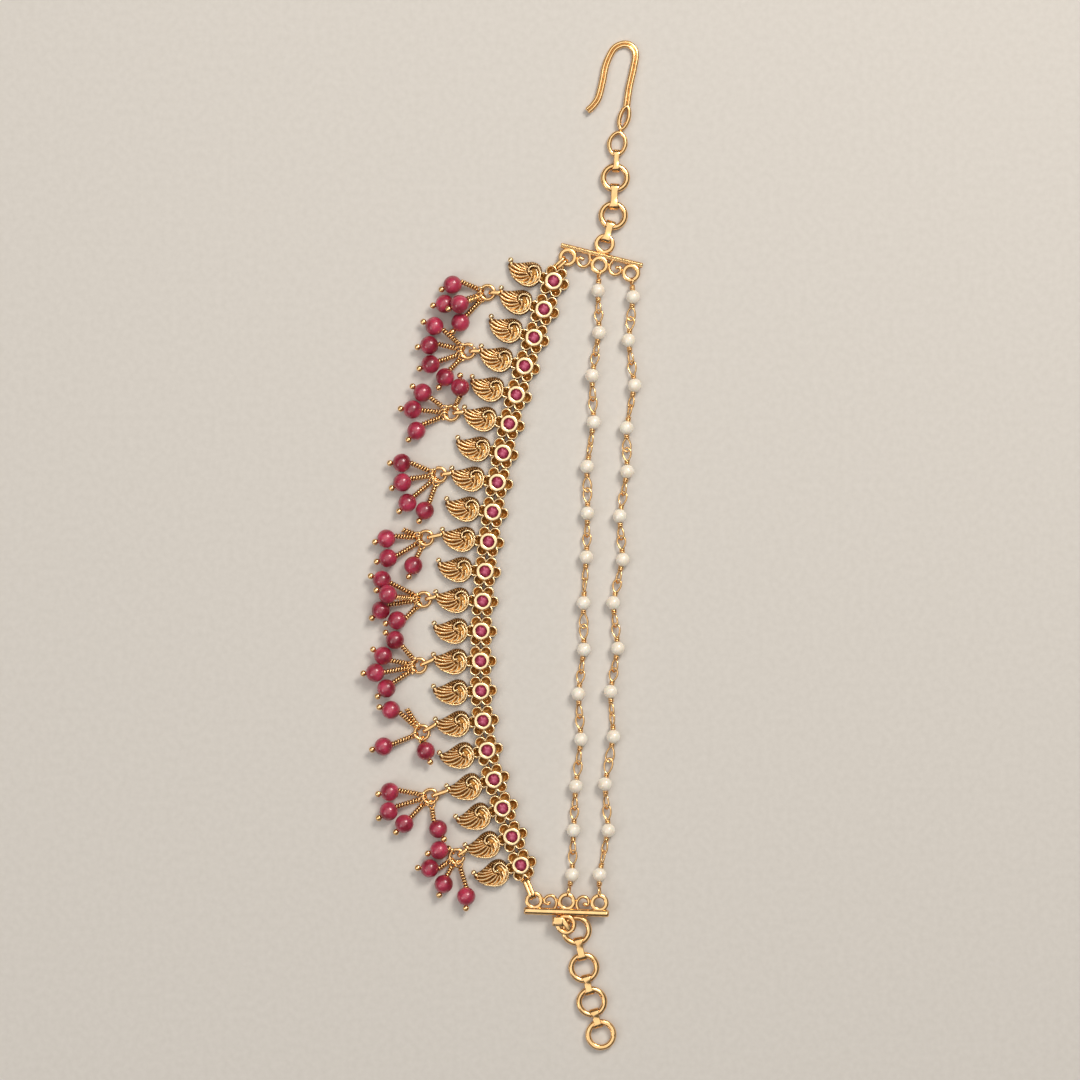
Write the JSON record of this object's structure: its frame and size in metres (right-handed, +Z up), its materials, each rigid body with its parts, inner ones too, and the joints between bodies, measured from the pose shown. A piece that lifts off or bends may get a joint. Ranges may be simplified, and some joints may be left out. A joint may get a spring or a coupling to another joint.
{
  "type": "ear chain",
  "caption": "Gold ear chain laid flat: hook and ring chain, two spacer bars, a strip of flower and paisley motifs with ruby bead drops, two pearl strands, and an end ring chain.",
  "frame": {"origin": "centre of the bounding box, on the surface that the chain lies on", "axes": "+Y along the chain towards the hook, +X towards the pearl strands, +Z up from the surface"},
  "size_m": [0.0506, 0.1802, 0.0052],
  "materials": {
    "polished_gold": "polished yellow gold plating",
    "antique_gold": "antique gold plating, dark in the recesses, with a small magenta faceted stone in each flower's collet",
    "ruby_bead": "translucent deep ruby beads on gold head pins and a gold jump ring",
    "pearl": "cream pearl lustre, on fine gold wire"
  },
  "bodies": {
    "root": {"ear_hook": "polished_gold", "top_band_link_1": "polished_gold", "top_band_link_2": "polished_gold", "top_band_link_3": "polished_gold", "top_ring_1": "polished_gold", "top_ring_2": "polished_gold", "end_band_link_1": "polished_gold", "end_band_link_2": "polished_gold", "end_band_link_3": "polished_gold", "end_band_link_4": "polished_gold", "end_ring_1": "polished_gold", "end_ring_2": "polished_gold", "end_ring_3": "polished_gold", "end_ring_4": "polished_gold", "spacer_bar_top": "polished_gold", "spacer_bar_bottom": "polished_gold", "strip_link_top": "polished_gold", "strip_link_bottom": "polished_gold", "motif_01": "antique_gold", "motif_02": "antique_gold", "motif_03": "antique_gold", "motif_04": "antique_gold", "motif_05": "antique_gold", "motif_06": "antique_gold", "motif_07": "antique_gold", "motif_08": "antique_gold", "motif_09": "antique_gold", "motif_10": "antique_gold", "motif_11": "antique_gold", "motif_12": "antique_gold", "motif_13": "antique_gold", "motif_14": "antique_gold", "motif_15": "antique_gold", "motif_16": "antique_gold", "motif_17": "antique_gold", "motif_18": "antique_gold", "motif_19": "antique_gold", "motif_20": "antique_gold", "motif_21": "antique_gold", "bead_cluster_01": "ruby_bead", "bead_cluster_02": "ruby_bead", "bead_cluster_03": "ruby_bead", "bead_cluster_04": "ruby_bead", "bead_cluster_05": "ruby_bead", "bead_cluster_06": "ruby_bead", "bead_cluster_07": "ruby_bead", "bead_cluster_08": "ruby_bead", "bead_cluster_09": "ruby_bead", "bead_cluster_10": "ruby_bead", "pearl_strand_inner": "pearl", "pearl_strand_outer": "pearl"}
  },
  "joints": []
}
